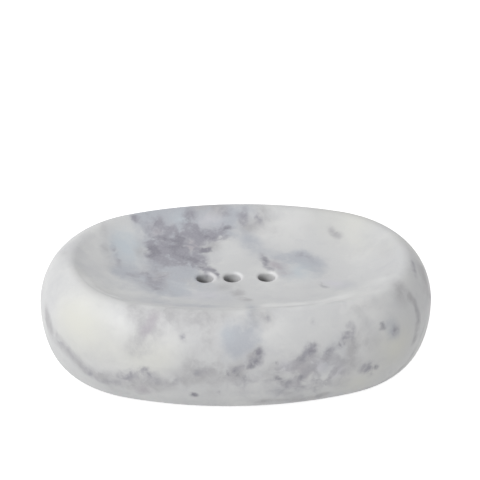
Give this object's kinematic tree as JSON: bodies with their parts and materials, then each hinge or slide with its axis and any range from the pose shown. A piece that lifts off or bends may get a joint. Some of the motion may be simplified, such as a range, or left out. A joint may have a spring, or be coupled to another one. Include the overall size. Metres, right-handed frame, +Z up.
{
  "type": "soap dish",
  "caption": "Oval marble soap dish with rounded sides, a shallow scooped top, drilled drain holes and soft stick-on feet.",
  "frame": {"origin": "on the table under the middle of the dish", "axes": "+X along the dish to the right, +Y to its back, +Z up"},
  "size_m": [0.14, 0.0934, 0.0394],
  "materials": {
    "marble": "honed white marble with violet-grey clouds and veins",
    "bumper": "clear soft bumper, satin",
    "adhesive": "thin clear adhesive film"
  },
  "bodies": {
    "root": {"stone_dish": "marble", "foot_front_left": "bumper", "foot_front_right": "bumper", "foot_back_left": "bumper", "foot_back_right": "bumper", "adhesive_front_left": "adhesive", "adhesive_front_right": "adhesive", "adhesive_back_left": "adhesive", "adhesive_back_right": "adhesive"}
  },
  "joints": []
}
